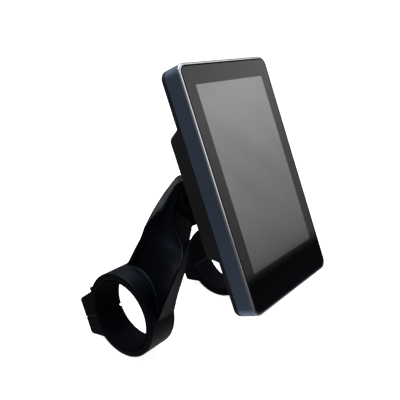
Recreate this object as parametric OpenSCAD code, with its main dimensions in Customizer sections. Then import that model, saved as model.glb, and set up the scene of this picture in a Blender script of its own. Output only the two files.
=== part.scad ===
// Handlebar display for an electric bicycle, held by two arms that clamp around the bar.
// Millimetres. X runs along the bar, Z is up, the screen faces -Y and upwards.
// The origin is on the bar's axis, midway between the clamps.
// Display parts are drawn flat, screen up, and then leaned back into place.

/* [Display] */
// width of the display over its metal frame
disp_w = 59.4; // [55:0.1:66]
// height of the display over its metal frame
disp_h = 99.5; // [92:0.1:106]
// how far the middle of the frame lies below the middle of the screen
frame_drop = 0.35; // [0:0.05:1]
// depth of the metal frame
frame_d = 7.7; // [7:0.1:9]
// corner radius of the metal frame
corner_r = 4.2; // [3:0.1:7]
// width of the bright rounded edge round the glass
edge_in = 1.1; // [0.5:0.1:1.6]
// depth of the rounded edge
edge_back = 0.6; // [0.3:0.1:1.2]
// how far the screen leans back from upright, degrees
lean = 22.6; // [10:0.1:35]

/* [Rear cover] */
// thickness of the lid behind the metal frame
lid_t = 2.4; // [2:0.1:3]
// how deep the electronics bay stands behind the glass face
bay_depth = 16; // [14:0.1:18]
// width of the electronics bay
bay_w = 57.6; // [50:0.1:59]
// length of the electronics bay
bay_h = 55.8; // [50:0.1:60]
// wall of the rear cover
cover_t = 1.6; // [1.2:0.1:2.4]

/* [Tilt pivot] */
// height of the tilt axis above the middle of the screen
pivot_v = -1; // [-4:0.5:4]
// how far the tilt axis lies behind the glass face
pivot_w = 27; // [26:0.1:30]
// radius of the pivot knuckle
knuckle_r = 7.2; // [6:0.1:7.6]
// half width of the pivot knuckle
knuckle_x = 9.6; // [8:0.1:10]
// radius of the tilt bolt
bolt_r = 2.5; // [2:0.1:3]

/* [Bracket] */
// bar axis below the middle of the screen
bar_v = 41.2; // [38:0.1:44]
// bar axis behind the glass face
bar_w = 63.9; // [60:0.1:68]
// radius of the handlebar
bar_r = 15.9; // [15.8:0.05:16]
// thickness of the rubber liner
liner_t = 1.0; // [0.8:0.1:1.5]
// outside radius of each clamp ring
ring_r = 19.7; // [18.8:0.1:20.5]
// outer face of each clamp ring, from the middle
ring_xo = 42.2; // [40:0.1:46]
// inner face of each clamp ring, from the middle
ring_xi = 27.8; // [26:0.1:30]
// gap where each ring is split
split = 0.5; // [0.5:0.1:2]

/* [Hidden] */
$fn = 96;
run = 0.06;

// placing and drawing helpers

module bar_frame() {
  rotate([90 - lean, 0, 0])
    children();
}

module display_frame() {
  bar_frame()
    translate([0, bar_v, bar_w])
      children();
}

module metal_frame() {
  display_frame()
    translate([0, -frame_drop, 0])
      children();
}

module rrect(w, h, r) {
  square([w - 2 * r, h], center = true);
  square([w, h - 2 * r], center = true);
  for (sx = [-1, 1], sy = [-1, 1])
    translate([sx * (w / 2 - r), sy * (h / 2 - r)])
      circle(r = r);
}

module plate(w, h, r, back, front) {
  translate([0, 0, -back])
    linear_extrude(back - front)
      rrect(w, h, r);
}

module ring_plate(w, h, r, wall, back, front) {
  difference() {
    plate(w, h, r, back, front);
    plate(w - 2 * wall, h - 2 * wall, max(r - wall, 0.4), back + 1, front - 1);
  }
}

module x_rod(r, x0, x1) {
  translate([x0, 0, 0])
    rotate([0, 90, 0])
      cylinder(r = r, h = x1 - x0);
}

module x_slab(x0, x1) {
  translate([x0, 0, 0])
    rotate([90, 0, 90])
      linear_extrude(x1 - x0)
        children();
}

module at_pivot() {
  translate([0, pivot_v, -pivot_w])
    children();
}

module pair_mirror(side) {
  mirror([side > 0 ? 1 : 0, 0, 0])
    children();
}

// the display

lid_back = frame_d + lid_t;
lid_floor = lid_back - 1.5;
boss_u = disp_w / 2 - 5.2;
boss_v = disp_h / 2 - 5.2;
glass_w = disp_w - 2 * edge_in - 0.2;
glass_h = disp_h - 2 * edge_in - 0.2;
glass_r = corner_r - edge_in - 0.1;
lcd_w = 47.2;
lcd_h = 82.2;
lcd_v = 0.5;

module at_bosses() {
  for (sx = [-1, 1], sy = [-1, 1])
    translate([sx * boss_u, sy * boss_v - frame_drop, 0])
      children();
}

module at_posts() {
  for (sx = [-1, 1], sy = [-1, 1])
    translate([sx * 21.5, sy * 19.5, 0])
      children();
}

// layers of a quarter ellipse, from the wall of the frame to the rim of the glass
module rounded_edge() {
  hull()
    for (turn = [0:18:90])
      let (inset = edge_in * (1 - cos(turn)))
        plate(
          disp_w - 2 * inset, disp_h - 2 * inset, corner_r - inset,
          edge_back + 0.05, max(edge_back * (1 - sin(turn)), 0.02)
        );
}

module front_frame() {
  color([0.16, 0.19, 0.24])
    display_frame()
      difference() {
        union() {
          translate([0, -frame_drop, 0])
            difference() {
              union() {
                plate(disp_w, disp_h, corner_r, frame_d, edge_back);
                rounded_edge();
              }
              plate(glass_w + 0.1, glass_h + 0.1, glass_r + 0.05, 1.45, -1);
              plate(disp_w - 7.4, disp_h - 7.4, 2.4, 3, -1);
              plate(disp_w - 3.4, disp_h - 3.4, corner_r - 1.7, frame_d + 1, 2.4);
            }
          at_bosses()
            translate([0, 0, -frame_d + 1.6])
              cylinder(r = 2.5, h = frame_d - 3.6);
        }
        at_bosses()
          translate([0, 0, -frame_d - 1])
            cylinder(r = 1.04, h = 4.8);
      }
}

module cover_glass() {
  color([0.05, 0.06, 0.07])
    metal_frame()
      plate(glass_w, glass_h, glass_r, 1.2, 0);
}

module glass_tape() {
  color([0.08, 0.08, 0.08])
    metal_frame()
      ring_plate(glass_w - 0.8, glass_h - 0.8, glass_r - 0.4, 1.9, 1.45, 1.2);
}

module lcd_panel() {
  color([0.22, 0.24, 0.27])
    display_frame()
      translate([0, lcd_v, 0])
        plate(lcd_w, lcd_h, 0.8, 2.7, 1.25);
}

module backlight() {
  color([0.85, 0.86, 0.87])
    display_frame()
      translate([0, lcd_v, 0]) {
        plate(lcd_w, lcd_h, 0.8, 4.4, 2.75);
        translate([0, -lcd_h / 2, -4.5])
          linear_extrude(1.5)
            square([30, 1], center = true);
      }
}

module panel_carrier() {
  color([0.10, 0.10, 0.11])
    display_frame()
      difference() {
        union() {
          plate(55.2, 94, 3.6, 5.5, 4.6);
          at_posts()
            translate([0, 0, -6.6])
              cylinder(r = 2.2, h = 1.5);
        }
        at_bosses()
          translate([0, 0, -8])
            cylinder(r = 3.3, h = 6);
        plate(30, 26, 3, 8, 2);
        translate([0, -43, -8])
          linear_extrude(6)
            square([34, 3.4], center = true);
        at_posts()
          translate([0, 0, -8])
            cylinder(r = 0.8, h = 6);
      }
}

module main_board() {
  color([0.05, 0.22, 0.12])
    display_frame()
      difference() {
        plate(50, 80, 1.5, 7.7, 6.6);
        at_posts()
          translate([0, 0, -9])
            cylinder(r = 1.1, h = 3);
        translate([0, -40.5, -9])
          linear_extrude(3)
            square([22, 3.2], center = true);
      }
}

module processor() {
  color([0.07, 0.07, 0.08])
    display_frame()
      translate([-6, 8, -8.9])
        linear_extrude(1.2)
          rrect(14, 14, 0.4);
}

module memory_chip() {
  color([0.07, 0.07, 0.08])
    display_frame()
      translate([10, 12, -8.7])
        linear_extrude(1)
          rrect(8, 6, 0.3);
}

module power_coil() {
  color([0.20, 0.20, 0.21])
    display_frame()
      translate([16, 0, -11.7])
        linear_extrude(4)
          rrect(10, 10, 1.5);
}

module capacitors() {
  color([0.60, 0.62, 0.65])
    display_frame()
      for (u = [-17, -9])
        translate([u, -8, -13.1])
          cylinder(r = 3.15, h = 5.4);
}

module flex_connector() {
  color([0.80, 0.78, 0.70])
    display_frame()
      translate([0, -20.6, -8.6])
        linear_extrude(0.9)
          square([20, 3.6], center = true);
}

// the ribbon leaves the bottom edge of the panel, folds round it and rises to its socket
module panel_flex() {
  color([0.72, 0.45, 0.12])
    display_frame()
      x_slab(-9, 9)
        polygon([
          [-40.8, -2.72], [-43.1, -2.9], [-43.9, -4.2], [-43.9, -7.2], [-43.0, -8.2],
          [-22.5, -8.2], [-22.5, -8.0], [-42.9, -8.0], [-43.7, -7.1], [-43.7, -4.3],
          [-43.0, -3.1], [-40.8, -2.92]
        ]);
}

module cable_header() {
  color([0.88, 0.87, 0.82])
    display_frame()
      translate([4, -11.2, -12.9])
        difference() {
          linear_extrude(5.2)
            square([12, 5], center = true);
          translate([0, 0, -0.5])
            linear_extrude(4.4)
              square([10.4, 3.6], center = true);
        }
}

module board_screws() {
  color([0.55, 0.56, 0.58])
    display_frame()
      at_posts() {
        translate([0, 0, -8.7])
          cylinder(r = 1.8, h = 1);
        translate([0, 0, -7.8])
          cylinder(r = 0.78, h = 3);
      }
}

bay_floor = bay_depth - cover_t;
outlet_v = -17.6;

module rear_cover() {
  color([0.06, 0.06, 0.065])
    display_frame()
      difference() {
        union() {
          translate([0, -frame_drop, 0]) {
            plate(disp_w - 0.5, disp_h - 0.5, corner_r - 0.25, frame_d + 0.3, frame_d + 0.02);
            hull() {
              plate(disp_w - 0.2, disp_h - 0.2, corner_r - 0.1, lid_back - 0.8, frame_d + 0.2);
              plate(disp_w - 1.6, disp_h - 1.6, corner_r - 0.8, lid_back, frame_d + 0.2);
            }
            ring_plate(disp_w - 3.8, disp_h - 3.8, corner_r - 1.9, 1.2, frame_d + 0.2, frame_d - 1.2);
          }
          hull() {
            plate(bay_w, bay_h, 2, lid_back - 0.3, frame_d + 0.2);
            plate(bay_w, bay_h - 5.6, 2, bay_depth - 0.6, frame_d + 0.2);
            plate(bay_w - 1.6, bay_h - 7.2, 2, bay_depth, frame_d + 0.2);
          }
          at_pivot()
            x_rod(knuckle_r, -knuckle_x, knuckle_x);
          translate([-knuckle_x, pivot_v - 6.4, -pivot_w])
            cube([2 * knuckle_x, 12.8, pivot_w - bay_depth + 1]);
        }
        translate([0, -frame_drop, 0])
          plate(disp_w - 6.6, disp_h - 6.6, corner_r - 3.2, lid_floor, frame_d - 2);
        hull() {
          plate(disp_w - 7, bay_h - 2 * cover_t - 0.8, 1.5, lid_back - 0.05, frame_d - 1.9);
          plate(disp_w - 7, bay_h - 2 * cover_t - 6, 1.5, bay_floor, frame_d - 1.9);
        }
        at_pivot()
          x_rod(bolt_r + run, -knuckle_x - 1, knuckle_x + 1);
        for (sx = [-1, 1])
          at_pivot()
            x_rod(5.05, sx > 0 ? knuckle_x - 0.6 : -knuckle_x - 1, sx > 0 ? knuckle_x + 1 : -knuckle_x + 0.6);
        at_bosses() {
          translate([0, 0, -lid_back - 1])
            cylinder(r = 1.25, h = 5);
          translate([0, 0, -lid_back - 1])
            cylinder(r = 2.1, h = 1.9);
        }
        translate([0, outlet_v, -20])
          cylinder(r = 3.2, h = 10);
      }
}

module rear_seal() {
  color([0.03, 0.03, 0.03])
    metal_frame()
      ring_plate(disp_w - 6.3, disp_h - 6.3, corner_r - 2.6, 0.9, frame_d, frame_d - 1);
}

module cover_screws() {
  color([0.12, 0.12, 0.13])
    display_frame()
      at_bosses()
        difference() {
          union() {
            translate([0, 0, -lid_back + 0.1])
              cylinder(r = 1.95, h = 0.8);
            translate([0, 0, -lid_back + 0.7])
              cylinder(r = 1, h = 5.2);
          }
          translate([0, 0, -lid_back - 1])
            cylinder(r = 0.85, h = 1.6, $fn = 6);
        }
}

module cable_grommet() {
  color([0.03, 0.03, 0.03])
    display_frame()
      translate([0, outlet_v, -bay_depth])
        difference() {
          union() {
            translate([0, 0, -2.6])
              cylinder(r = 4.4, h = 2.6);
            translate([0, 0, -0.1])
              cylinder(r = 3.15, h = cover_t + 0.1);
            translate([0, 0, cover_t])
              cylinder(r = 3.9, h = 0.8);
          }
          translate([0, 0, -5])
            cylinder(r = 1.9, h = 10);
        }
}

module tilt_washer(side) {
  color([0.70, 0.71, 0.73])
    display_frame()
      at_pivot()
        pair_mirror(side)
          difference() {
            x_rod(5, -knuckle_x - 0.3, -knuckle_x + 0.6);
            x_rod(bolt_r + 0.1, -knuckle_x - 1, -knuckle_x + 1);
          }
}

module left_tilt_washer() {
  tilt_washer(-1);
}

module right_tilt_washer() {
  tilt_washer(1);
}

// the bracket: two clamp rings, two twisted arms and a yoke that carries the pivot

cheek_in = knuckle_x + 0.6;
cheek_out = 17.8;
cheek_r = 8.4;

// Each arm section has a rear inner, rear outer, front outer and front inner edge.
// Points are [x, up the screen, out of the screen] from the middle of the glass face.
arm_stations = [
  [[-28.2, -30, -68], [-32.4, -29, -67], [-38.0, -53, -52], [-28.2, -53.6, -52.6]],
  [[-28.2, -22.8, -66.6], [-32.2, -22.2, -64.2], [-38.4, -46.2, -45], [-27.8, -48, -46.4]],
  [[-27.8, -20.6, -64.2], [-32.0, -19.8, -59.0], [-37.6, -38.4, -37.8], [-27.3, -39, -39.8]],
  [[-26.6, -15.6, -58.6], [-31.4, -14.8, -52.8], [-34.4, -28.6, -29.8], [-24.3, -29.8, -34.2]],
  [[-25.0, -11, -53.8], [-30.0, -10.4, -48.2], [-30.4, -24.2, -28.2], [-20.4, -24.1, -33.6]],
  [[-23.0, -6.4, -50.6], [-28.0, -6, -45.2], [-26.6, -19.8, -29.0], [-16.3, -19.4, -34.6]],
  [[-20.4, -2, -47.4], [-25.2, -2.3, -39.4], [-23.4, -12.8, -32.6], [-10.1, -14.8, -36.4]],
  [[-17.4, 2.4, -43.4], [-22.0, 0, -37], [-20.8, -4.4, -34.0], [-5.8, -12.8, -38.6]],
  [[-15.2, 6.2, -38.8], [-19.0, 3.7, -34], [-18.4, 0.4, -31.0], [-8.4, -8.6, -39.2]],
  [[-12.6, 10.2, -31.6], [-16.6, 8.2, -28.0], [-17.2, 4.0, -27.0], [-10.6, -4.6, -36]],
  [[-12.6, 5.0, -28], [-16.6, 4.0, -26], [-16.6, 0.4, -24.6], [-11.6, -3.4, -31]]
];

// depth of the scooped outer face at each station
arm_scoop = [0.3, 2.2, 2.6, 2.8, 2.6, 2.4, 1.6, 0.4, 0.15, 0.1, 0.1];

function blend(a, b, c, d, t) =
  0.5 * (2 * b + (c - a) * t + (2 * a - 5 * b + 4 * c - d) * t * t + (3 * b - a - 3 * c + d) * t * t * t);

function pick(list, i) = list[min(max(i, 0), len(list) - 1)];

function station(i, t) = [
  for (k = [0:3])
    blend(
      pick(arm_stations, i - 1)[k], pick(arm_stations, i)[k],
      pick(arm_stations, i + 1)[k], pick(arm_stations, i + 2)[k], t
    )
];

function scoop(i, t) = pick(arm_scoop, i) * (1 - t) + pick(arm_scoop, i + 1) * t;

function unit(v) = v / norm(v);

function section(q, s) =
  let (
    across = q[2] - q[1],
    inward = unit((q[0] + q[3]) / 2 - (q[1] + q[2]) / 2),
    rim_a = min(1.6, norm(across) * 0.3),
    rim_b = min(0.9, norm(across) * 0.3),
    a = q[1] + unit(across) * rim_a,
    b = q[2] - unit(across) * rim_b
  )
  [
    q[0], q[1], a,
    a + inward * s + unit(across) * min(s * 0.35, norm(across) * 0.15),
    b + inward * s - unit(across) * min(s * 0.35, norm(across) * 0.15),
    b, q[2], q[3]
  ];

arm_steps = 5;
arm_sections = [
  for (i = [0:len(arm_stations) - 2])
    for (k = [0:arm_steps - 1])
      section(station(i, k / arm_steps), scoop(i, k / arm_steps)),
  section(arm_stations[len(arm_stations) - 1], 0.1)
];

function middle(s) = (s[0] + s[1] + s[6] + s[7]) / 4;

module arm_loft() {
  n = 8;
  m = len(arm_sections);
  points = [
    for (s = arm_sections) for (p = s) p,
    2 * middle(arm_sections[0]) - middle(arm_sections[1]),
    2 * middle(arm_sections[m - 1]) - middle(arm_sections[m - 2])
  ];
  sides = [
    for (i = [0:m - 2])
      for (k = [0:n - 1])
        for (f = [
          [i * n + k, (i + 1) * n + k, i * n + (k + 1) % n],
          [i * n + (k + 1) % n, (i + 1) * n + k, (i + 1) * n + (k + 1) % n]
        ]) f
  ];
  ends = [
    for (k = [0:n - 1]) [k, (k + 1) % n, m * n],
    for (k = [0:n - 1]) [(m - 1) * n + (k + 1) % n, (m - 1) * n + k, m * n + 1]
  ];
  polyhedron(points = points, faces = concat(sides, ends), convexity = 8);
}

module clamp_ring() {
  translate([-ring_xo, 0, 0])
    rotate([0, 90, 0])
      rotate_extrude()
        polygon([
          [12, 0], [ring_r - 0.6, 0], [ring_r, 0.6],
          [ring_r, ring_xo - ring_xi - 0.6], [ring_r - 0.6, ring_xo - ring_xi], [12, ring_xo - ring_xi]
        ]);
  x_slab(-ring_xo + 0.05, -ring_xi - 0.05)
    polygon([[12.4, -13], [12.4, -15.4], [9.9, -24.6], [8.9, -25.9], [-7.5, -25.9], [-8.3, -25.1], [-10.8, -13]]);
}

screw_w = 21.4;
seat_v = 9.6;
nut_v = 5.2;

module clamp_cuts() {
  x_rod(bar_r + liner_t, -ring_xo - 1, -ring_xi + 1);
  translate([-ring_xo - 1, -split / 2, -40])
    cube([ring_xo - ring_xi + 2, split, 34]);
  translate([-(ring_xo + ring_xi) / 2, 0, -screw_w]) {
    rotate([90, 0, 0])
      translate([0, 0, -30])
        cylinder(r = 1.5 + run, h = 60);
    rotate([-90, 0, 0])
      translate([0, 0, seat_v])
        cylinder(r = 3, h = 8);
    rotate([90, 0, 0])
      translate([0, 0, nut_v])
        cylinder(r = 3.3, h = 12, $fn = 6);
  }
}

module half_bracket() {
  difference() {
    union() {
      translate([0, bar_v, bar_w]) {
        arm_loft();
        at_pivot()
          x_rod(cheek_r, -cheek_out, -cheek_in);
        translate([-cheek_in - 4, pivot_v - 4, -pivot_w - 12.4])
          cube([4, 9.6, 11]);
      }
      clamp_ring();
    }
    clamp_cuts();
  }
}

module bracket() {
  color([0.05, 0.05, 0.055])
    bar_frame()
      difference() {
        union() {
          half_bracket();
          mirror([1, 0, 0])
            half_bracket();
          translate([0, bar_v, bar_w])
            x_slab(-14, 14)
              polygon([[-13.9, -37.4], [-14.1, -40], [-12.0, -42.6], [-4, -44.4], [2.6, -42.8], [6, -39], [4.6, -36.6]]);
        }
        translate([0, bar_v, bar_w])
          at_pivot() {
            x_rod(bolt_r + run, -30, 30);
            x_rod(knuckle_r + 0.5, -cheek_in, cheek_in);
            x_rod(4.5, -30, -cheek_out + 4);
            translate([cheek_out - 3.6, 0, 0])
              rotate([0, 90, 0])
                cylinder(r = 4.75, h = 12, $fn = 6);
          }
      }
}

module liner(side) {
  color([0.02, 0.02, 0.02])
    bar_frame()
      pair_mirror(side)
        difference() {
          x_rod(bar_r + liner_t - 0.02, -ring_xo + 0.1, -ring_xi - 0.1);
          x_rod(bar_r, -ring_xo - 1, -ring_xi + 1);
          translate([-ring_xo - 1, -split / 2 - 0.4, -40])
            cube([ring_xo - ring_xi + 2, split + 0.8, 34]);
        }
}

module left_liner() {
  liner(-1);
}

module right_liner() {
  liner(1);
}

module at_screw(side) {
  bar_frame()
    pair_mirror(side)
      translate([-(ring_xo + ring_xi) / 2, 0, -screw_w])
        rotate([-90, 0, 0])
          children();
}

module clamp_screw(side) {
  color([0.10, 0.10, 0.11])
    at_screw(side)
      difference() {
        union() {
          translate([0, 0, seat_v])
            cylinder(r = 2.75, h = 3);
          translate([0, 0, -8.2])
            cylinder(r = 1.5, h = seat_v + 8.3);
        }
        translate([0, 0, seat_v + 1.3])
          cylinder(r = 1.44, h = 3, $fn = 6);
      }
}

module left_clamp_screw() {
  clamp_screw(-1);
}

module right_clamp_screw() {
  clamp_screw(1);
}

module clamp_nut(side) {
  color([0.45, 0.46, 0.48])
    at_screw(side)
      difference() {
        translate([0, 0, -nut_v - 2.4])
          cylinder(r = 3.15, h = 2.4, $fn = 6);
        translate([0, 0, -12])
          cylinder(r = 1.5 + run, h = 10);
      }
}

module left_clamp_nut() {
  clamp_nut(-1);
}

module right_clamp_nut() {
  clamp_nut(1);
}

module tilt_bolt() {
  color([0.10, 0.10, 0.11])
    display_frame()
      at_pivot()
        difference() {
          union() {
            x_rod(4.2, -cheek_out - 0.2, -cheek_out + 4);
            x_rod(bolt_r, -cheek_out + 3.9, cheek_out - 0.2);
          }
          translate([-cheek_out - 1, 0, 0])
            rotate([0, 90, 0])
              cylinder(r = 2.3, h = 3.4, $fn = 6);
        }
}

module tilt_nut() {
  color([0.45, 0.46, 0.48])
    display_frame()
      at_pivot()
        difference() {
          translate([cheek_out - 3.6, 0, 0])
            rotate([0, 90, 0])
              cylinder(r = 4.6, h = 3.2, $fn = 6);
          x_rod(bolt_r + run, 0, 30);
        }
}

front_frame();
cover_glass();
glass_tape();
lcd_panel();
backlight();
panel_carrier();
main_board();
processor();
memory_chip();
power_coil();
capacitors();
flex_connector();
panel_flex();
cable_header();
board_screws();
rear_cover();
rear_seal();
cover_screws();
cable_grommet();
left_tilt_washer();
right_tilt_washer();
bracket();
left_liner();
right_liner();
left_clamp_nut();
right_clamp_nut();
tilt_nut();
left_clamp_screw();
right_clamp_screw();
tilt_bolt();
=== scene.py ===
# %% [markdown]
# # A handlebar display for an electric bicycle
# The real thing is a flat metal-framed screen about as big as a small phone. Its plastic back
# turns on a bolt between the two arms of a bracket, and each arm ends in a ring that is screwed
# round the handlebar. The exact solids come in first as a fixed frame. Every piece made here sits
# on that frame, in metres, so nothing has to be fitted by eye.

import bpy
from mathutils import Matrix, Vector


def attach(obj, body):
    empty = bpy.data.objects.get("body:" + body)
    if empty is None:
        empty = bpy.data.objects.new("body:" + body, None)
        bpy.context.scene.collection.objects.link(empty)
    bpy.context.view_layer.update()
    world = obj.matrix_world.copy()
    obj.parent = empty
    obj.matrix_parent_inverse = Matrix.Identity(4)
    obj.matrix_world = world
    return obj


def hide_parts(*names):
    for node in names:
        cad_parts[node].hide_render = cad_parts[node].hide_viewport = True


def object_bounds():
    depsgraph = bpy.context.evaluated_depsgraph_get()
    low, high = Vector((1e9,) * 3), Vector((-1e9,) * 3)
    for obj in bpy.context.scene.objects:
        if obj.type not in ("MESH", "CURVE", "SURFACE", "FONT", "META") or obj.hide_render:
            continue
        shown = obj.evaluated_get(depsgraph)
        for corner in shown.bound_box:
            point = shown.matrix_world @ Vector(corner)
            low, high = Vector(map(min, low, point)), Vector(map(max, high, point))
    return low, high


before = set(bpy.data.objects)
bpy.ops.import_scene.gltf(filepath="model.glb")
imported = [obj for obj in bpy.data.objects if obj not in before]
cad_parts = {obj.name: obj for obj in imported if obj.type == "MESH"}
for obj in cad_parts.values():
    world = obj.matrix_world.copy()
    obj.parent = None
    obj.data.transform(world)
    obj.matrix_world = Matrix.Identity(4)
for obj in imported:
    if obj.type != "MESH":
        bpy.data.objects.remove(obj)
cad_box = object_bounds()
print("CAD box in millimetres:", [[round(c * 1000, 1) for c in corner] for corner in cad_box])

# %% [markdown]
# ## Two places to draw in
# The display leans back 22.6 degrees, which makes it awkward to draw where it stands. So pieces
# are drawn flat in millimetres and one matrix carries them into place. `BAR` is centred on the
# handlebar and leans with the display, and `SCREEN` is centred on the face of the glass, with
# x across it, y up it and z out of it.

# %% Set the drawing frames
import math

import bmesh
import bpy
from mathutils import Matrix, Vector

LEAN = 22.6
BAR_TO_GLASS = Vector((0, 41.2, 63.9))
BAR = Matrix.Scale(0.001, 4) @ Matrix.Rotation(math.radians(90 - LEAN), 4, "X")
SCREEN = BAR @ Matrix.Translation(BAR_TO_GLASS)
print("middle of the glass, in metres:", [round(c, 4) for c in SCREEN.translation])

# %% [markdown]
# ## The camera
# The photograph was taken from the rider's left, a little above the display and close to it, so
# the screen narrows towards its far side. The lens and the place were worked out from the corners
# of the glass and the bores of the clamps. A camera that looks straight along one direction,
# with no roll and no shift, is enough.

# %% Place the camera
CAMERA_AT = Vector((-0.17356, -0.15081, 0.12088))
CAMERA_LOOKS = Vector((0.73804, 0.59283, -0.32227))
camera_data = bpy.data.cameras.new("camera")
camera_data.sensor_width = 36.0
camera_data.lens = 46.07
camera_data.clip_start = 0.01
camera = bpy.data.objects.new("camera", camera_data)
camera.location = CAMERA_AT
camera.rotation_euler = CAMERA_LOOKS.to_track_quat("-Z", "Y").to_euler()
bpy.context.scene.collection.objects.link(camera)
bpy.context.scene.camera = camera
print("camera lens in millimetres:", camera_data.lens)

# %% [markdown]
# ## Adding shader nodes
# All the finishes are made of nodes. One small function adds a node: it takes the kind, the values
# for its sockets, the links that come into it, and any other settings. Colours are written as the
# hex values that an eye would name, and one function turns them into the linear light values
# that a renderer needs.

# %% Make the colour and node helpers
def linear(hex_colour):
    channels = [int(hex_colour[i:i + 2], 16) / 255 for i in (1, 3, 5)]
    curved = [c / 12.92 if c <= 0.04045 else ((c + 0.055) / 1.055) ** 2.4 for c in channels]
    return (*curved, 1.0)


def add_node(tree, kind, values=None, links=None, **settings):
    node = tree.nodes.new(kind)
    for name, value in settings.items():
        setattr(node, name, value)
    for socket, value in (values or {}).items():
        node.inputs[socket].default_value = value
    for socket, source in (links or {}).items():
        tree.links.new(source, node.inputs[socket])
    return node


def new_material(name):
    material = bpy.data.materials.new(name)
    material.use_nodes = True
    tree = material.node_tree
    tree.nodes.clear()
    return material, tree


def connect_surface(tree, shader):
    add_node(tree, "ShaderNodeOutputMaterial", links={"Surface": shader.outputs[0]})


print("mid grey in linear light:", round(linear("#808080")[0], 3))

# %% [markdown]
# ## The studio
# A dark glossy object is seen mostly by what it reflects. In the photograph the glass is brightest
# at its top and nearly black along its bottom edge, with a level boundary between, and the metal
# round it shows one thin bright line on the left and none on the right. So the room has a bright
# wall in front of the display and to its right that stops at the horizon, and a dimmer dome
# everywhere else. Two ramps on the height of the light's direction make them. The direction is
# then levelled, and how near it lies to the wall's own direction mixes the two.
#
# Four softboxes do the rest. The one overhead lights everything softly. The one in front draws the
# bright line along the left edge, the one at the side lights the top edge, and the one behind
# picks out the rear edges of the arms.

# %% Light the room
world = bpy.data.worlds.new("soft_room")
bpy.context.scene.world = world
world.use_nodes = True
room = world.node_tree
room.nodes.clear()
BRIGHT_WALL = (0.809, -0.588, 0.0)
DOME_STOPS = [
    (-1.0, 0.50), (-0.75, 0.30), (-0.6, 0.10), (-0.3, 0.06), (-0.05, 0.10),
    (0.10, 0.08), (0.5, 0.14), (0.75, 0.40), (1.0, 0.7),
]
WALL_STOPS = [
    (-1.0, 0.40), (-0.45, 0.25), (-0.2, 0.06), (0.006, 0.02), (0.026, 0.42),
    (0.17, 0.70), (0.33, 1.2), (0.40, 1.1), (0.7, 0.9), (1.0, 0.7),
]
sky = add_node(room, "ShaderNodeTexCoord").outputs["Generated"]
rise = add_node(room, "ShaderNodeSeparateXYZ", links={0: sky}).outputs["Z"]
rise = add_node(room, "ShaderNodeMapRange", {"From Min": -1.0}, {"Value": rise}).outputs["Result"]


def height_ramp(stops):
    ramp = add_node(room, "ShaderNodeValToRGB", links={"Fac": rise})
    for k, (z, strength) in enumerate(stops):
        place = (z + 1) / 2
        stop = ramp.color_ramp.elements[k] if k < 2 else ramp.color_ramp.elements.new(place)
        stop.position = place
        stop.color = (strength, strength, strength, 1)
    return ramp.outputs["Color"]


level = add_node(room, "ShaderNodeVectorMath", {1: (1, 1, 0)}, {0: sky}, operation="MULTIPLY").outputs[0]
level = add_node(room, "ShaderNodeVectorMath", links={0: level}, operation="NORMALIZE").outputs[0]
toward_wall = add_node(
    room, "ShaderNodeVectorMath", {1: BRIGHT_WALL}, {0: level}, operation="DOT_PRODUCT"
).outputs["Value"]
side = add_node(
    room, "ShaderNodeMapRange", {"From Min": 0.891, "From Max": 0.956}, {"Value": toward_wall},
    interpolation_type="SMOOTHSTEP",
).outputs["Result"]
glow = add_node(
    room, "ShaderNodeMix", links={0: side, 6: height_ramp(DOME_STOPS), 7: height_ramp(WALL_STOPS)},
    data_type="RGBA",
).outputs[2]
room_light = add_node(room, "ShaderNodeBackground", {"Strength": 1.0}, {"Color": glow})
add_node(room, "ShaderNodeOutputWorld", links={"Surface": room_light.outputs[0]})
bpy.context.scene.view_settings.view_transform = "Standard"


def add_softbox(name, place, target, size, power):
    light = bpy.data.lights.new(name, "AREA")
    light.shape = "RECTANGLE"
    light.size, light.size_y = size
    light.energy = power
    box = bpy.data.objects.new(name, light)
    box.location = place
    box.rotation_euler = (Vector(target) - Vector(place)).to_track_quat("-Z", "Y").to_euler()
    box.visible_camera = False
    bpy.context.scene.collection.objects.link(box)


add_softbox("overhead_softbox", (-0.05, 0.40, 1.0), (0, 0, 0.04), (0.9, 0.6), 9)
add_softbox("front_softbox", (0.30, -0.92, 0.60), (0, 0, 0.08), (0.42, 0.62), 0.65)
add_softbox("side_softbox", (0.85, 0.40, 0.62), (0, 0, 0.08), (0.45, 0.3), 0.3)
add_softbox("back_softbox", (0.05, 1.12, 0.25), (0, 0, 0.05), (0.6, 0.4), 0.8)
print("room stops:", len(DOME_STOPS), "in the dome and", len(WALL_STOPS), "in the wall")

# %% [markdown]
# ## The floor
# The floor is a wide disc whose edge sweeps up in a quarter circle, turned from one outline. It glows,
# and its wall more than its level part, as if lamps were aimed at it, so that both stay pale. It is
# hidden from reflections, which would otherwise whiten the underside of every black part.

# %% Lay the floor
def revolve(profile, steps, close_ends=True):
    """Turns (radius, height) points round the z axis and returns points and faces."""
    points = []
    for k in range(steps):
        angle = 2 * math.pi * k / steps
        for radius, z in profile:
            points.append((radius * math.cos(angle), radius * math.sin(angle), z))
    count = len(profile)
    faces = []
    for k in range(steps):
        here, there = k * count, (k + 1) % steps * count
        for i in range(count - 1):
            faces.append((here + i, there + i, there + i + 1, here + i + 1))
    if close_ends:
        faces.append([k * count for k in range(steps)][::-1])
        faces.append([k * count + count - 1 for k in range(steps)])
    return points, faces


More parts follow.
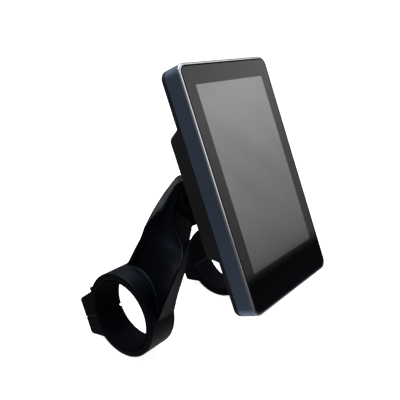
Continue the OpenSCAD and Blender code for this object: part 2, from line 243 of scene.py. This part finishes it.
FLOOR_Z = cad_box[0][2] - 0.0005
FLAT_R, SWEEP_R = 2.2, 1.0
sweep = [(0.00001, FLOOR_Z), (FLAT_R, FLOOR_Z)]
for k in range(1, 17):
    angle = math.pi / 2 * k / 16
    sweep.append((FLAT_R + SWEEP_R * math.sin(angle), FLOOR_Z + SWEEP_R * (1 - math.cos(angle))))
sweep.append((FLAT_R + SWEEP_R, FLOOR_Z + 3))
floor_points, floor_faces = revolve(sweep, 96, close_ends=False)
floor_mesh = bpy.data.meshes.new("paper_sweep")
floor_mesh.from_pydata(floor_points, [], floor_faces)
floor_mesh.shade_smooth()
floor = bpy.data.objects.new("paper_sweep", floor_mesh)
bpy.context.scene.collection.objects.link(floor)
for unseen in ("visible_glossy", "visible_diffuse", "visible_transmission", "visible_shadow"):
    setattr(floor, unseen, False)
paper, tree = new_material("matt white paper")
paper_place = add_node(tree, "ShaderNodeTexCoord").outputs["Object"]
paper_rise = add_node(tree, "ShaderNodeSeparateXYZ", links={0: paper_place}).outputs["Z"]
wall_lamps = add_node(
    tree, "ShaderNodeMapRange", {"From Min": FLOOR_Z, "From Max": 0.08, "To Min": 0.9, "To Max": 1.2},
    {"Value": paper_rise},
)
paper_shader = add_node(
    tree, "ShaderNodeBsdfPrincipled",
    {"Base Color": linear("#f2f3f4"), "Roughness": 0.9, "Emission Color": (1, 1, 1, 1)},
    {"Emission Strength": wall_lamps.outputs["Result"]},
)
connect_surface(tree, paper_shader)
floor.data.materials.append(paper)
print("floor height in millimetres:", round(FLOOR_Z * 1000, 1))

# %% [markdown]
# ## Patterns in real millimetres
# A pattern's scale is worked out from the size of its grains. Object coordinates are used for all
# of them: every piece sits at the origin in metres, so one unit is one metre, and a noise whose
# grain is g millimetres across needs a scale of 1000 / g.

# %% Make the pattern helpers
def grain_scale(millimetres):
    return 1000 / millimetres


def speckle(tree, millimetres, detail=3.0, squeeze=(1, 1, 1), turn=0.0):
    """A noise whose grains are that many millimetres across, squeezed along the screen's own axes."""
    where = add_node(tree, "ShaderNodeTexCoord")
    laid_flat = add_node(
        tree, "ShaderNodeMapping", {"Rotation": (math.radians(LEAN - 90), 0, math.radians(turn))},
        {"Vector": where.outputs["Object"]},
    )
    squeezed = add_node(
        tree, "ShaderNodeMapping", {"Scale": squeeze}, {"Vector": laid_flat.outputs["Vector"]}
    )
    noise = add_node(
        tree, "ShaderNodeTexNoise", {"Scale": grain_scale(millimetres), "Detail": detail},
        {"Vector": squeezed.outputs["Vector"]},
    )
    return noise.outputs["Fac"]


def between(tree, source, low, high):
    """Spreads a noise's middle values from low to high."""
    spread = add_node(
        tree, "ShaderNodeMapRange", {"From Min": 0.3, "From Max": 0.7, "To Min": low, "To Max": high},
        {"Value": source},
    )
    return spread.outputs["Result"]


def two_tones(tree, source, first, second):
    # a mix node lists its number sockets first, so its colour sockets are 6 and 7, and output 2
    mix = add_node(
        tree, "ShaderNodeMix", {6: linear(first), 7: linear(second)},
        {0: between(tree, source, 0.0, 1.0)}, data_type="RGBA",
    )
    return mix.outputs[2]


def grainy(tree, source, micrometres, strength):
    """Turns a noise into a surface that rises and falls by that many micrometres."""
    bump = add_node(
        tree, "ShaderNodeBump", {"Strength": strength, "Distance": micrometres * 1e-6}, {"Height": source}
    )
    return bump.outputs["Normal"]


print("a 0.25 mm grain needs a scale of", grain_scale(0.25))

# %% [markdown]
# ## Anodised aluminium
# The frame is an aluminium profile, blasted with fine beads and then anodised in a dark blue grey.
# Blasting leaves dents about 0.05 mm across, too fine to show here, so they are drawn at 0.2 mm.
# The dye sits in a clear oxide layer, so this is a metal with a dark tinted colour, and the dents
# spread its reflection into a soft sheen.

# %% Make the anodised aluminium
def make_anodised_aluminium():
    material, tree = new_material("anodised aluminium")
    dents = speckle(tree, 0.2)
    clouds = speckle(tree, 9)
    shader = add_node(
        tree, "ShaderNodeBsdfPrincipled", {"Metallic": 1.0},
        {
            "Base Color": two_tones(tree, clouds, "#8494b1", "#8b9bb8"),
            "Roughness": between(tree, dents, 0.34, 0.44),
            "Normal": grainy(tree, dents, 20, 0.25),
        },
    )
    connect_surface(tree, shader)
    return material


anodised_aluminium = make_anodised_aluminium()
print("made", anodised_aluminium.name)

# %% [markdown]
# ## Diamond-cut aluminium
# After anodising, the edge round the glass is cut back to bare metal with a diamond tool. That
# leaves a mirror-like rounded edge with faint tool lines along it. It is bright only where it faces
# a light, so it needs little more than a low roughness.

# %% Make the diamond-cut edge
def make_cut_aluminium():
    material, tree = new_material("diamond-cut aluminium")
    lines = speckle(tree, 0.3, squeeze=(1, 0.02, 1))
    shader = add_node(
        tree, "ShaderNodeBsdfPrincipled", {"Metallic": 1.0},
        {
            "Base Color": two_tones(tree, lines, "#d9dde2", "#e6e9ec"),
            "Roughness": between(tree, lines, 0.14, 0.20),
        },
    )
    connect_surface(tree, shader)
    return material


cut_aluminium = make_cut_aluminium()
print("made", cut_aluminium.name)

# %% [markdown]
# ## Cover glass
# The cover is one sheet of toughened glass. Its back is printed black round the border, and the
# window in the middle shows the sleeping panel, whose polariser reflects a dull grey. Both get
# the same polished surface, with a faint haze of fingerprints in the roughness.

# %% Make the two glasses
def make_glass(name, first, second, metallic, roughness):
    material, tree = new_material(name)
    haze = speckle(tree, 14, squeeze=(1, 0.35, 1), turn=-50)
    shader = add_node(
        tree, "ShaderNodeBsdfPrincipled",
        {"Metallic": metallic, "IOR": 1.52, "Specular IOR Level": 0.0,
         "Coat Weight": 1.0, "Coat IOR": 1.52, "Coat Roughness": 0.01},
        {"Base Color": two_tones(tree, haze, first, second), "Roughness": between(tree, haze, *roughness)},
    )
    connect_surface(tree, shader)
    return material


printed_glass = make_glass("glass over black print", "#06070b", "#080a0f", 0.0, (0.05, 0.08))
window_glass = make_glass("glass over the panel", "#727373", "#7f8080", 1.0, (0.14, 0.20))
print("made", printed_glass.name, "and", window_glass.name)

# %% [markdown]
# ## Black mouldings
# The rear cover is moulded ABS and the bracket is nylon with glass fibre. The tools are spark
# textured, which gives both a fine grain of about 0.1 mm, drawn here at 0.25 mm. The grain
# scatters the highlight into a soft grey, and the nylon's is a little coarser and duller. The
# black dye in the nylon and in the rubber is bluish, so their highlights get a tint of blue.

# %% Make the black mouldings
def make_moulding(name, first, second, grain, roughness, shine=0.5, tint="#ffffff"):
    material, tree = new_material(name)
    texture = speckle(tree, grain, detail=4)
    clouds = speckle(tree, 12)
    shader = add_node(
        tree, "ShaderNodeBsdfPrincipled",
        {"IOR": 1.5, "Specular IOR Level": shine, "Specular Tint": linear(tint)},
        {
            "Base Color": two_tones(tree, clouds, first, second),
            "Roughness": between(tree, clouds, *roughness),
            "Normal": grainy(tree, texture, 30, 0.35),
        },
    )
    connect_surface(tree, shader)
    return material


black_abs = make_moulding("moulded ABS", "#222325", "#27282a", 0.25, (0.42, 0.52), shine=0.35)
black_nylon = make_moulding(
    "glass-filled nylon", "#030509", "#05070c", 0.3, (0.36, 0.46), shine=0.2, tint="#b4c8f0",
)
rubber = make_moulding("moulded rubber", "#030408", "#05060a", 0.4, (0.65, 0.8), shine=0.12, tint="#b4c8f0")
print("made", black_abs.name, black_nylon.name, rubber.name)

# %% [markdown]
# ## Drawing rounded rectangles
# The frame, the glass and the cover are all rounded rectangles stacked behind each other. An
# outline is a ring of points with the corners as arcs, and a skin joins a stack of outlines that
# have the same number of points. Most of the display is made from these two helpers.

# %% Make the outline and skin helpers
CORNER_STEPS = 10


def outline(width, height, radius, depth, centre_y=0.0):
    """One ring of points round a rounded rectangle, that deep behind the glass face."""
    points = []
    for quarter, (sx, sy) in enumerate([(1, 1), (-1, 1), (-1, -1), (1, -1)]):
        centre = (sx * (width / 2 - radius), centre_y + sy * (height / 2 - radius))
        for k in range(CORNER_STEPS + 1):
            angle = math.pi / 2 * (quarter + k / CORNER_STEPS)
            x = centre[0] + radius * math.cos(angle)
            y = centre[1] + radius * math.sin(angle)
            points.append((x, y, -depth))
    return points


def skin(rings, closed=False, caps=True):
    """Quads between rings of points. A closed skin joins its last ring to its first."""
    count = len(rings[0])
    points = [p for ring in rings for p in ring]
    pairs = list(zip(range(len(rings) - 1), range(1, len(rings))))
    if closed:
        pairs.append((len(rings) - 1, 0))
    faces = []
    for a, b in pairs:
        for k in range(count):
            n = (k + 1) % count
            faces.append((a * count + k, a * count + n, b * count + n, b * count + k))
    if caps and not closed:
        faces.append(list(range(count))[::-1])
        faces.append([(len(rings) - 1) * count + k for k in range(count)])
    return points, faces


def join_shells(*shells):
    points, faces = [], []
    for shell_points, shell_faces in shells:
        start = len(points)
        points += list(shell_points)
        faces += [tuple(start + i for i in face) for face in shell_faces]
    return points, faces


def new_object(name, shell, *materials):
    """A mesh object, still in the flat drawing frame, with its faces turned outwards."""
    mesh = bpy.data.meshes.new(name)
    mesh.from_pydata([tuple(p) for p in shell[0]], [], shell[1])
    work = bmesh.new()
    work.from_mesh(mesh)
    bmesh.ops.recalc_face_normals(work, faces=work.faces)
    work.to_mesh(mesh)
    work.free()
    for material in materials:
        mesh.materials.append(material)
    thing = bpy.data.objects.new(name, mesh)
    bpy.context.scene.collection.objects.link(thing)
    return thing


def bake(thing):
    """Applies the modifiers, so the mesh holds what they made."""
    graph = bpy.context.evaluated_depsgraph_get()
    mesh = bpy.data.meshes.new_from_object(thing.evaluated_get(graph))
    thing.modifiers.clear()
    thing.data = mesh
    return thing


def round_edges(thing, width, segments=2, angle=30):
    """Rounds every edge that is sharper than the angle, and shades the flats flat."""
    bevel = thing.modifiers.new("rounded edges", "BEVEL")
    bevel.width = width
    bevel.segments = segments
    bevel.limit_method = "ANGLE"
    bevel.angle_limit = math.radians(angle)
    bevel.use_clamp_overlap = True
    for face in thing.data.polygons:
        face.use_smooth = True
    flats = thing.modifiers.new("flat shading on flats", "WEIGHTED_NORMAL")
    flats.keep_sharp = True
    return thing


def put(thing, place, body, slot, *nodes):
    """Bakes a piece, carries it into place, and makes it ride on a body."""
    bake(thing)
    thing.data.transform(place)
    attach(thing, body)
    if nodes:
        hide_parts(*nodes)
    size = [round(d * 1000, 1) for d in thing.dimensions]
    print(thing.name, "measures", size, "mm with", len(thing.data.polygons), "faces")
    return thing


print("an outline has", len(outline(10, 10, 1, 0)), "points")

# %% [markdown]
# ## The metal frame
# One outline is swept round the display: rounded edge, ledge for the glass, inner wall and outer
# wall. A profile of inset and depth does it, because every ring is the same rounded rectangle
# with a different inset. The rounded edge is a quarter of an ellipse, and its strips of faces get
# the bare metal. The two innermost strips get the black rubber finish instead, a painted dark line
# that stands in for the shade and dark reflection between the bright edge and the glass.

# %% Build the frame
WIDTH, HEIGHT, CORNER = 59.4, 99.5, 4.2
FRAME_DEPTH, FRAME_DROP = 7.7, 0.35
EDGE_IN, EDGE_BACK = 1.1, 0.6
# the innermost strips of the rounded edge carry a painted dark line, drawn in black rubber
EDGE_STEPS, PAINTED_DARK_STRIPS = 8, 2
LEDGE_IN, LEDGE_DEPTH = 3.7, 1.45
WALL_IN, WALL_FROM = 1.7, 2.4
GLASS_THICK = 1.2
GLASS_INSET = EDGE_IN + 0.1


def inset_ring(inset, depth):
    radius = max(CORNER - inset, 0.4)
    return outline(WIDTH - 2 * inset, HEIGHT - 2 * inset, radius, depth, -FRAME_DROP)


rounded_edge = []
for k in range(EDGE_STEPS + 1):
    turn = math.pi / 2 * k / EDGE_STEPS
    inset = EDGE_IN * (1 - math.cos(turn))
    depth = max(EDGE_BACK * (1 - math.sin(turn)), 0.02)
    rounded_edge.append((inset, depth))
frame_profile = rounded_edge + [
    (GLASS_INSET - 0.03, 0.02), (GLASS_INSET - 0.03, LEDGE_DEPTH), (LEDGE_IN, LEDGE_DEPTH),
    (LEDGE_IN, WALL_FROM), (WALL_IN, WALL_FROM), (WALL_IN, FRAME_DEPTH), (0, FRAME_DEPTH),
]
frame_shell = skin([inset_ring(*corner) for corner in frame_profile], closed=True)
metal_frame = new_object("metal_frame", frame_shell, anodised_aluminium, cut_aluminium, rubber)
ring_length = 4 * (CORNER_STEPS + 1)
edge_strips = EDGE_STEPS + 1
# the two innermost strips get black rubber: a painted dark line for the shade beside the glass
for face in list(metal_frame.data.polygons)[:edge_strips * ring_length]:
    painted_dark = face.index >= (edge_strips - PAINTED_DARK_STRIPS) * ring_length
    face.material_index = 2 if painted_dark else 1
round_edges(metal_frame, 0.07, angle=40)
put(metal_frame, SCREEN, "display", "frame_metal", "front_frame")

# %% [markdown]
# ## The cover glass
# The glass is a thin slab with a finely ground edge. Its front is split into a border and a
# window, two materials that meet along the edge of the print.

# %% Build the glass
WINDOW_W, WINDOW_H, WINDOW_Y = 45.4, 75.2, 3.0
glass_rings = [
    inset_ring(GLASS_INSET, GLASS_THICK), inset_ring(GLASS_INSET, 0.3), inset_ring(GLASS_INSET + 0.35, 0),
    outline(WINDOW_W, WINDOW_H, 0.5, 0, WINDOW_Y),
]
glass = new_object("glass", skin(glass_rings), printed_glass, window_glass)
glass.data.polygons[-1].material_index = 1
put(glass, SCREEN, "display", "edge_glass", "cover_glass")

# %% [markdown]
# ## Solid tools
# The mouldings have bores, slots and sockets. They are cut the way a machinist would: rods, prisms
# and rounded blocks are made as closed shells, and a boolean takes them away. A rod lies along x,
# because nearly every hole here runs along the handlebar.

# %% Make the rod, prism and cutting helpers
def rod(radius, x_from, x_to, y=0.0, z=0.0, steps=64, turn=0.0):
    rings = []
    for x in (x_from, x_to):
        angles = [2 * math.pi * k / steps + turn for k in range(steps)]
        rings.append([(x, y + radius * math.cos(a), z + radius * math.sin(a)) for a in angles])
    return skin(rings)


def prism(corners, x_from, x_to):
    """A flat outline of (y, z) corners, drawn out along x."""
    return skin([[(x, y, z) for y, z in corners] for x in (x_from, x_to)])


def block(low, high):
    (x0, y0, z0), (x1, y1, z1) = low, high
    return prism([(y0, z0), (y1, z0), (y1, z1), (y0, z1)], x0, x1)


def across(shell, centre_x, centre_z):
    """Turns a rod that lies along x so that it runs along y."""
    points = [(centre_x + y, x, centre_z + z) for x, y, z in shell[0]]
    return points, shell[1]


def out_of_screen(shell, centre_x, centre_y):
    """Turns a rod that lies along x so that it runs along z."""
    points = [(centre_x + y, centre_y + z, x) for x, y, z in shell[0]]
    return points, shell[1]


def combine(thing, shell, operation):
    other = new_object("tool", shell)
    step = thing.modifiers.new("step", "BOOLEAN")
    step.object = other
    step.operation = operation
    step.solver = "EXACT"
    step.use_self = operation == "UNION"
    bake(thing)
    bpy.data.objects.remove(other)
    return thing


print("a 6-sided rod has", len(rod(1, 0, 1, steps=6)[0]), "points")

# %% [markdown]
# ## The rear cover
# The cover is one moulding: a thin lid with a rounded edge, a deep bay for the electronics across
# its full width, and a knuckle that the tilt bolt runs through. The lid and bay are one stack of
# rounded rectangles, inside and out. The knuckle is a rod on a flared foot, joined on, and then
# the bores and screw holes are cut.

# %% Build the rear cover
BAY_W, BAY_H, BAY_DEPTH = 57.6, 55.8, 16.0
BAY_SHOULDER, BAY_ROUND = 15.4, 15.8
LID_BACK = FRAME_DEPTH + 2.4
LID_FLOOR = LID_BACK - 1.5
PIVOT_Y, PIVOT_DEPTH = -1.0, 27.0
KNUCKLE_R, KNUCKLE_X, BOLT_R = 7.2, 9.6, 2.5
WASHER_R, WASHER_RECESS = 5.05, 0.6
OUTLET_Y, OUTLET_R = -17.6, 3.2
SCREW_FROM_CORNER, COVER_THREAD_R, COVER_HEAD_R = 5.2, 1.25, 2.1
WALL = 1.6
lid_rings = [
    outline(BAY_W - 3.4, BAY_H - 9.2, 2, BAY_DEPTH - WALL), outline(BAY_W - 3.4, BAY_H - 4, 2, LID_BACK),
    inset_ring(3.3, LID_FLOOR), inset_ring(3.3, FRAME_DEPTH - 1.2), inset_ring(2.1, FRAME_DEPTH - 1.2),
    inset_ring(2.1, FRAME_DEPTH), inset_ring(0.25, FRAME_DEPTH + 0.02), inset_ring(0.25, FRAME_DEPTH + 0.3),
    inset_ring(0.1, FRAME_DEPTH + 0.3), inset_ring(0.1, LID_BACK - 0.8), inset_ring(0.3, LID_BACK - 0.3),
    inset_ring(0.8, LID_BACK), outline(BAY_W, BAY_H, 2.0, LID_BACK),
    outline(BAY_W, BAY_H - 5.6, 2.0, BAY_SHOULDER), outline(BAY_W - 0.5, BAY_H - 6.1, 1.8, BAY_ROUND),
    outline(BAY_W - 1.6, BAY_H - 7.2, 1.4, BAY_DEPTH),
]
rear_cover = new_object("rear_cover_moulding", skin(lid_rings), black_abs)
foot = [
    (PIVOT_Y + y, -z) for y, z in
    [(-8.4, BAY_SHOULDER), (-8.4, 16.1), (-7.3, 16.6), (-6.7, 17.5), (-6.4, 18.8), (-6.4, PIVOT_DEPTH),
     (6.4, PIVOT_DEPTH), (6.4, 18.8), (6.7, 17.5), (7.3, 16.6), (8.4, 16.1), (8.4, BAY_SHOULDER)]
]
combine(rear_cover, prism(foot, -KNUCKLE_X, KNUCKLE_X), "UNION")
combine(rear_cover, rod(KNUCKLE_R, -KNUCKLE_X, KNUCKLE_X, PIVOT_Y, -PIVOT_DEPTH), "UNION")
cover_cuts = [
    rod(BOLT_R + 0.06, -20, 20, PIVOT_Y, -PIVOT_DEPTH),
    rod(WASHER_R, KNUCKLE_X - WASHER_RECESS, 12, PIVOT_Y, -PIVOT_DEPTH),
    rod(WASHER_R, -12, WASHER_RECESS - KNUCKLE_X, PIVOT_Y, -PIVOT_DEPTH),
    out_of_screen(rod(OUTLET_R, -20, -10), 0, OUTLET_Y),
]
for sx in (-1, 1):
    for sy in (-1, 1):
        screw_x = sx * (WIDTH / 2 - SCREW_FROM_CORNER)
        screw_y = sy * (HEIGHT / 2 - SCREW_FROM_CORNER) - FRAME_DROP
        for radius, x_to in ((COVER_THREAD_R, -6), (COVER_HEAD_R, 0.9 - LID_BACK)):
            cover_cuts.append(out_of_screen(rod(radius, -12, x_to, steps=32), screw_x, screw_y))
for cut in cover_cuts:
    combine(rear_cover, cut, "DIFFERENCE")
round_edges(rear_cover, 0.35, segments=2, angle=35)
put(rear_cover, SCREEN, "display", "black_plastic", "rear_cover")

# %% [markdown]
# ## The arms of the bracket
# Each arm is a thin hollow-faced blade that twists as it climbs from its ring to the pivot. It
# could be sculpted, but a loft is easier to steer: eleven stations along the arm each give four
# edges, and a smooth curve runs through every edge. The outer face is dished between two rims, as
# in the photograph, and the dish is a shallow bowl whose depth is given at each station.

# %% Draw the sections of an arm
ARM_STATIONS = [
    [(-28.2, -30, -68), (-32.4, -29, -67), (-38.0, -53, -52), (-28.2, -53.6, -52.6)],
    [(-28.2, -22.8, -66.6), (-32.2, -22.2, -64.2), (-38.4, -46.2, -45), (-27.8, -48, -46.4)],
    [(-27.8, -20.6, -64.2), (-32.0, -19.8, -59.0), (-37.6, -38.4, -37.8), (-27.3, -39, -39.8)],
    [(-26.6, -15.6, -58.6), (-31.4, -14.8, -52.8), (-34.4, -28.6, -29.8), (-24.3, -29.8, -34.2)],
    [(-25.0, -11, -53.8), (-30.0, -10.4, -48.2), (-30.4, -24.2, -28.2), (-20.4, -24.1, -33.6)],
    [(-23.0, -6.4, -50.6), (-28.0, -6, -45.2), (-26.6, -19.8, -29.0), (-16.3, -19.4, -34.6)],
    [(-20.4, -2, -47.4), (-25.2, -2.3, -39.4), (-23.4, -12.8, -32.6), (-10.1, -14.8, -36.4)],
    [(-17.4, 2.4, -43.4), (-22.0, 0, -37), (-20.8, -4.4, -34.0), (-5.8, -12.8, -38.6)],
    [(-15.2, 6.2, -38.8), (-19.0, 3.7, -34), (-18.4, 0.4, -31.0), (-8.4, -8.6, -39.2)],
    [(-12.6, 10.2, -31.6), (-16.6, 8.2, -28.0), (-17.2, 4.0, -27.0), (-10.6, -4.6, -36)],
    [(-12.6, 5.0, -28), (-16.6, 4.0, -26), (-16.6, 0.4, -24.6), (-11.6, -3.4, -31)],
]
DISH_DEPTH = [0.3, 2.2, 2.6, 2.8, 2.6, 2.4, 1.6, 0.4, 0.15, 0.1, 0.1]
ARM_STEPS = 8
REAR_RIM, FRONT_RIM, EDGE_ROUND = 1.6, 0.9, 0.25


def through(a, b, c, d, t):
    """A smooth curve that goes from b to c, steered by a and d."""
    square = 2 * a - 5 * b + 4 * c - d
    cube = 3 * b - a - 3 * c + d
    return 0.5 * (2 * b + (c - a) * t + square * t * t + cube * t ** 3)


def along_list(values, place):
    """The value at a fractional place in a list, on a smooth curve."""
    i = min(int(place), len(values) - 2)
    around = [values[min(max(i + k, 0), len(values) - 1)] for k in (-1, 0, 1, 2)]
    return through(*around, place - i)


def arm_section(place):
    corners = [Vector(along_list([Vector(s[k]) for s in ARM_STATIONS], place)) for k in range(4)]
    rear_in, rear_out, front_out, front_in = corners
    dish = max(along_list(DISH_DEPTH, place), 0.0)
    face = front_out - rear_out
    inward = ((rear_in + front_in) / 2 - (rear_out + front_out) / 2).normalized()
    reach = face.length
    rims = min(REAR_RIM, reach * 0.3), min(FRONT_RIM, reach * 0.3)
    hollow = []
    for k in range(9):
        t = k / 8
        depth = dish * (1 - abs(2 * t - 1) ** 3)
        across_face = rims[0] + (reach - rims[0] - rims[1]) * t
        hollow.append(rear_out + face.normalized() * across_face + inward * depth)
    outline_points = [rear_in, rear_out, *hollow, front_out, front_in]
    rounded = []
    for k, point in enumerate(outline_points):
        if point in (rear_in, rear_out, front_out, front_in):
            before = outline_points[k - 1]
            after = outline_points[(k + 1) % len(outline_points)]
            for other in (before, after):
                step = other - point
                rounded.append(point + step.normalized() * min(EDGE_ROUND, step.length * 0.4))
        else:
            rounded.append(point)
    return [tuple(p + BAR_TO_GLASS) for p in rounded]


last_station = len(ARM_STATIONS) - 1
arm_places = [k / ARM_STEPS for k in range(last_station * ARM_STEPS + 1)]
left_arm = skin([arm_section(place) for place in arm_places])
print("an arm has", len(arm_places), "sections of", len(arm_section(0)), "points")

# %% [markdown]
# ## One moulding from many shapes
# On the real bracket the rings, arms, cheeks and yoke are one piece of nylon with soft inside
# corners. Joining the shapes with booleans alone leaves hard creases, so after the cuts the whole
# bracket is remeshed into small even cells and relaxed a little. That blends every inside corner,
# as a moulding's fillets do, and takes the sharpness off every edge.

# %% Build the bracket
RING_R, RING_OUT, RING_IN = 19.7, 42.2, 27.8
BORE_R, SPLIT = 16.9, 0.5
SCREW_DEPTH, SEAT, NUT_SEAT = 21.4, 9.6, 5.2
SCREW_R, SCREW_HEAD_R, CLAMP_NUT_R = 1.56, 3.0, 3.3
BOLT_HEAD_R, BOLT_NUT_R = 4.5, 4.75
CHEEK_R, CHEEK_IN, CHEEK_OUT = 8.4, 10.2, 17.8
EAR = [(12.4, -13), (12.4, -15.4), (9.9, -24.6), (8.9, -25.9), (-7.5, -25.9), (-8.3, -25.1), (-10.8, -13)]
YOKE = [(-13.9, -37.4), (-14.1, -40), (-12.0, -42.6), (-4, -44.4), (2.6, -42.8), (6, -39), (4.6, -36.6)]
pivot = (PIVOT_Y + BAR_TO_GLASS.y, BAR_TO_GLASS.z - PIVOT_DEPTH)
ring_middle = (RING_OUT + RING_IN) / 2


def mirrored(shell):
    return [(-x, y, z) for x, y, z in shell[0]], [face[::-1] for face in shell[1]]


left_shapes = [
    left_arm,
    rod(RING_R, -RING_OUT, -RING_IN, steps=128),
    prism(EAR, -RING_OUT + 0.05, -RING_IN - 0.05),
    rod(CHEEK_R, -CHEEK_OUT, -CHEEK_IN, *pivot, steps=96),
    block((-CHEEK_IN - 4, pivot[0] - 3, pivot[1] - 12.4), (-CHEEK_IN, pivot[0] + 6.6, pivot[1] - 1.4)),
]
yoke = prism([(y + BAR_TO_GLASS.y, z + BAR_TO_GLASS.z) for y, z in YOKE], -14, 14)
left_cuts = [
    rod(BORE_R, -RING_OUT - 1, -RING_IN + 1, steps=128),
    block((-RING_OUT - 1, -SPLIT / 2, -40), (-RING_IN + 1, SPLIT / 2, -6)),
    across(rod(SCREW_R, -30, 30, steps=32), -ring_middle, -SCREW_DEPTH),
    across(rod(SCREW_HEAD_R, SEAT, SEAT + 8, steps=48), -ring_middle, -SCREW_DEPTH),
    across(rod(CLAMP_NUT_R, -NUT_SEAT - 12, -NUT_SEAT, steps=6), -ring_middle, -SCREW_DEPTH),
]
middle_cuts = [
    rod(BOLT_R + 0.06, -30, 30, *pivot, steps=48),
    rod(KNUCKLE_R + 0.5, -CHEEK_IN, CHEEK_IN, *pivot, steps=96),
    rod(BOLT_HEAD_R, -30, 4 - CHEEK_OUT, *pivot, steps=64),
    rod(BOLT_NUT_R, CHEEK_OUT - 3.6, 30, *pivot, steps=6),
]
cell = 0.3


def remesh(thing, size):
    cells = thing.modifiers.new("even cells", "REMESH")
    cells.mode = "VOXEL"
    cells.voxel_size = size
    cells.use_smooth_shade = True
    return bake(thing)


bracket_shell = join_shells(*left_shapes, *map(mirrored, left_shapes), yoke)
bracket = new_object("bracket_moulding", bracket_shell, black_nylon)
remesh(bracket, cell)
for cut in left_cuts + [mirrored(c) for c in left_cuts] + middle_cuts:
    combine(bracket, cut, "DIFFERENCE")
remesh(bracket, cell)
relax = bracket.modifiers.new("relaxed surface", "SMOOTH")
relax.factor = 0.5
relax.iterations = 1
put(bracket, BAR, "bracket", "black_plastic", "bracket")

# %% [markdown]
# ## Steel and the small plastics
# The clamp screws and the tilt bolt are steel with a black oxide finish, and the washers and nuts
# are zinc plated. Black oxide is a thin dark layer that still lets the metal shine at its edges,
# so both are metals and differ in colour and roughness. A turned part has fine rings too small to
# show, so a stretched noise stands for them.

# %% Make the steels
def make_metal(name, first, second, roughness, grain=0.4):
    material, tree = new_material(name)
    marks = speckle(tree, grain, squeeze=(0.2, 1, 1))
    shader = add_node(
        tree, "ShaderNodeBsdfPrincipled", {"Metallic": 1.0},
        {
            "Base Color": two_tones(tree, marks, first, second),
            "Roughness": between(tree, marks, *roughness),
            "Normal": grainy(tree, marks, 10, 0.2),
        },
    )
    connect_surface(tree, shader)
    return material


black_oxide = make_metal("black oxide steel", "#26272a", "#303134", (0.32, 0.46))
zinc_plate = make_metal("zinc plated steel", "#b4b8bd", "#c6c9cc", (0.24, 0.36))
can_aluminium = make_metal("drawn aluminium can", "#c0c4c8", "#cfd2d5", (0.22, 0.3))
print("made", black_oxide.name, zinc_plate.name, can_aluminium.name)

# %% [markdown]
# ## The parts inside
# Nothing of these shows while the display is shut, but they are part of the model and are seen
# when it is taken apart. The board is glass-fibre laminate under a green resist, with copper
# tracks that show as slightly lighter lines. The chips are pressed epoxy, the coil's core is
# ferrite, the ribbon is polyimide film over copper, and the light guide is clear acrylic, frosted
# on its back.

# %% Make the finishes of the parts inside
def make_board():
    material, tree = new_material("glass-fibre board with green resist")
    where = add_node(tree, "ShaderNodeTexCoord").outputs["Object"]
    # tracks are about 0.2 mm wide and are drawn 0.6 mm apart
    tracks = add_node(
        tree, "ShaderNodeTexBrick",
        {"Scale": grain_scale(2.4), "Color1": linear("#1d5a36"), "Color2": linear("#1a5232"),
         "Mortar": linear("#2b7247"), "Mortar Size": 0.06, "Brick Width": 2.4, "Row Height": 0.5},
        {"Vector": where},
    )
    weave = speckle(tree, 0.5)
    shader = add_node(
        tree, "ShaderNodeBsdfPrincipled", {"IOR": 1.55, "Coat Weight": 0.4, "Coat Roughness": 0.15},
        {
            "Base Color": tracks.outputs["Color"], "Roughness": between(tree, weave, 0.3, 0.45),
            "Normal": grainy(tree, weave, 15, 0.2),
        },
    )
    connect_surface(tree, shader)
    return material


green_board = make_board()
epoxy = make_moulding("pressed epoxy", "#1c1c1e", "#232325", 0.2, (0.5, 0.6))
ferrite = make_moulding("sintered ferrite", "#3a3a3c", "#454547", 0.35, (0.55, 0.7))
white_nylon = make_moulding("white nylon", "#ddd9cc", "#e5e2d6", 0.3, (0.4, 0.5))
carrier_abs = make_moulding("grey black ABS", "#222225", "#29292c", 0.3, (0.45, 0.55))
foam = make_moulding("closed-cell foam tape", "#131313", "#1c1c1c", 0.5, (0.85, 0.95))
polyimide = make_moulding("polyimide film", "#a8641c", "#b8732a", 0.8, (0.25, 0.35))
acrylic = make_moulding("frosted acrylic", "#dfe3e4", "#eceff0", 0.6, (0.3, 0.45))
polariser = make_glass("panel glass with polariser", "#2c2f33", "#33363a", 0.0, (0.2, 0.3))
print("made the finishes of the parts inside")

# %% [markdown]
# ## Dressing the exact parts
# Small parts whose exact solid is already right are kept. Each gets its own finish, and a narrow
# bevel puts the highlight on its edges that a sharp computed edge never shows.

# %% Give the kept parts their finishes
KEPT_PARTS = {
    "glass_tape": (foam, 0), "lcd_panel": (polariser, 0.05), "backlight": (acrylic, 0.05),
    "panel_carrier": (carrier_abs, 0.1), "main_board": (green_board, 0.05), "processor": (epoxy, 0.1),
    "memory_chip": (epoxy, 0.1), "power_coil": (ferrite, 0.2), "capacitors": (can_aluminium, 0.3),
    "flex_connector": (white_nylon, 0.1), "panel_flex": (polyimide, 0),
    "cable_header": (white_nylon, 0.15), "board_screws": (zinc_plate, 0.12),
    "rear_seal": (rubber, 0.1), "cover_screws": (black_oxide, 0.12),
    "cable_grommet": (rubber, 0.4), "left_tilt_washer": (zinc_plate, 0.1),
    "right_tilt_washer": (zinc_plate, 0.1), "left_liner": (rubber, 0.15), "right_liner": (rubber, 0.15),
    "left_clamp_nut": (zinc_plate, 0.15), "right_clamp_nut": (zinc_plate, 0.15),
    "left_clamp_screw": (black_oxide, 0.15), "right_clamp_screw": (black_oxide, 0.15),
    "tilt_nut": (zinc_plate, 0.2), "tilt_bolt": (black_oxide, 0.25),
}


def dress(node, finish, bevel_mm):
    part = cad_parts[node]
    for slot in part.material_slots:
        slot.material = finish
    if bevel_mm:
        bevel = part.modifiers.new("fine bevel", "BEVEL")
        bevel.width = bevel_mm / 1000
        bevel.segments = 2
        bevel.limit_method = "ANGLE"
        bevel.angle_limit = math.radians(50)
        bevel.use_clamp_overlap = True


for node, (finish, bevel_mm) in KEPT_PARTS.items():
    dress(node, finish, bevel_mm)
print("dressed", len(KEPT_PARTS), "parts")
